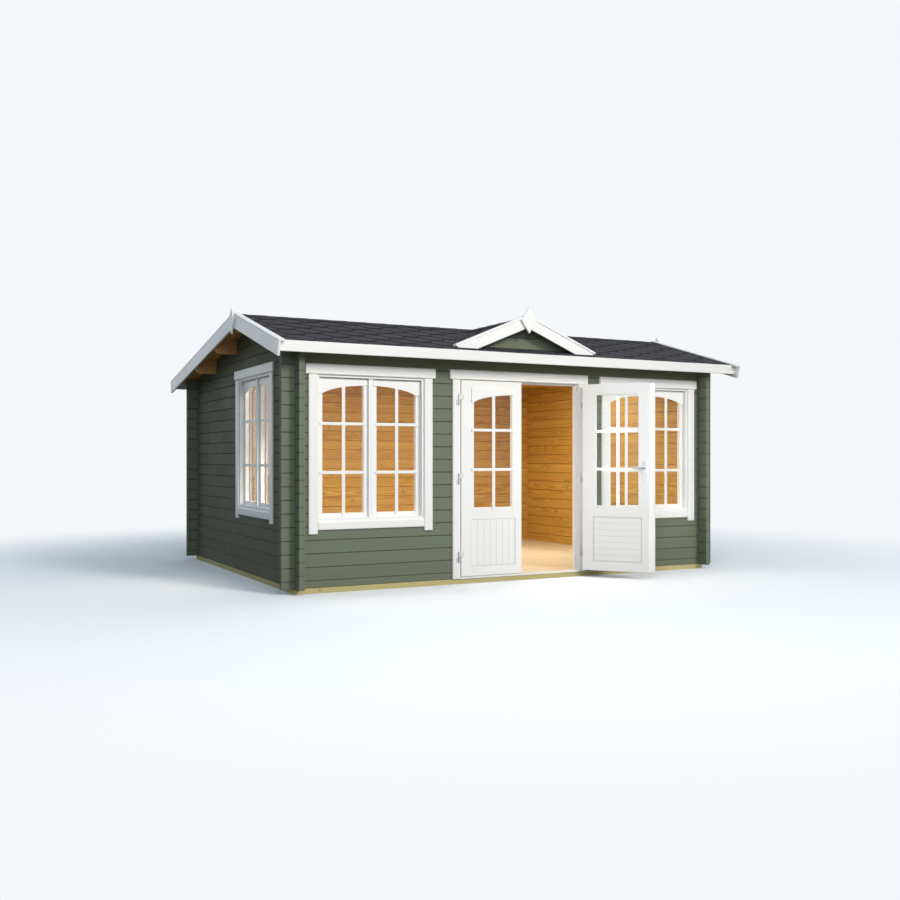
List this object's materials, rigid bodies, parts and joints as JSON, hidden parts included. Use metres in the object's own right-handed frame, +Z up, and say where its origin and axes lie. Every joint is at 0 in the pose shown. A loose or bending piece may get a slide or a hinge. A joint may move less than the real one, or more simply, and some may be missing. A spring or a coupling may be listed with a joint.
{
  "type": "log cabin",
  "caption": "Small garden log cabin with notched wall logs, an asymmetric shingled gable roof, a cross gable over a glazed double door, and arched windows",
  "frame": {"origin": "on the ground, under the middle joist, at the centre of the wall footprint", "axes": "+X to the right seen from the front, +Y from the front to the back, +Z up"},
  "size_m": [4.9566, 4.2058, 2.5477],
  "materials": {
    "wall_logs": "painted grey green outside, bare pine inside",
    "bare_pine": "planed, clear",
    "impregnated_timber": "sawn, impregnated",
    "white_trim": "satin white paint",
    "white_joinery": "satin white paint",
    "shingles": "mineral granules on felt",
    "glazing": "clear",
    "hinge_metal": "satin",
    "handle_metal": "satin"
  },
  "bodies": {
    "cabin": {"foundation_beams": "impregnated_timber", "floor_boards": "bare_pine", "front_wall_left": "wall_logs", "front_wall_right": "wall_logs", "front_wall_top": "wall_logs", "back_wall": "wall_logs", "left_wall": "wall_logs", "right_wall": "wall_logs", "left_gable": "wall_logs", "right_gable": "wall_logs", "cross_gable_logs": "wall_logs", "purlins": "bare_pine", "front_roof_boards": "bare_pine", "rear_roof_boards": "bare_pine", "cross_roof_boards": "bare_pine", "front_shingles": "shingles", "rear_shingles": "shingles", "cross_shingles": "shingles", "eave_fascias": "white_trim", "left_barge_boards": "white_trim", "right_barge_boards": "white_trim", "cross_barge_boards": "white_trim", "gable_finials": "white_trim", "front_windows_casing": "white_trim", "front_windows_frame": "white_joinery", "front_windows_sashes": "white_joinery", "front_windows_glass": "glazing", "side_window_casing": "white_trim", "side_window_frame": "white_joinery", "side_window_sashes": "white_joinery", "side_window_glass": "glazing", "door_casing": "white_trim", "door_frame": "white_joinery", "casing_hinges": "hinge_metal"},
    "left_leaf": {"left_door_leaf": "white_joinery", "left_door_bars": "white_joinery", "left_door_glass": "glazing", "left_leaf_hinges": "hinge_metal"},
    "right_leaf": {"right_door_leaf": "white_joinery", "right_door_bars": "white_joinery", "right_door_glass": "glazing", "right_leaf_hinges": "hinge_metal", "door_handle": "handle_metal"}
  },
  "joints": [
    {"name": "left_door_hinge", "type": "hinge", "parent": "cabin", "child": "left_leaf", "pos_m": [-0.6705, -1.7196, 0.95], "axis": [0, 0, -1], "range_deg": [0, 165]},
    {"name": "right_door_hinge", "type": "hinge", "parent": "cabin", "child": "right_leaf", "pos_m": [0.6705, -1.7196, 0.95], "axis": [0, 0, 1], "range_deg": [-130, 35]}
  ]
}
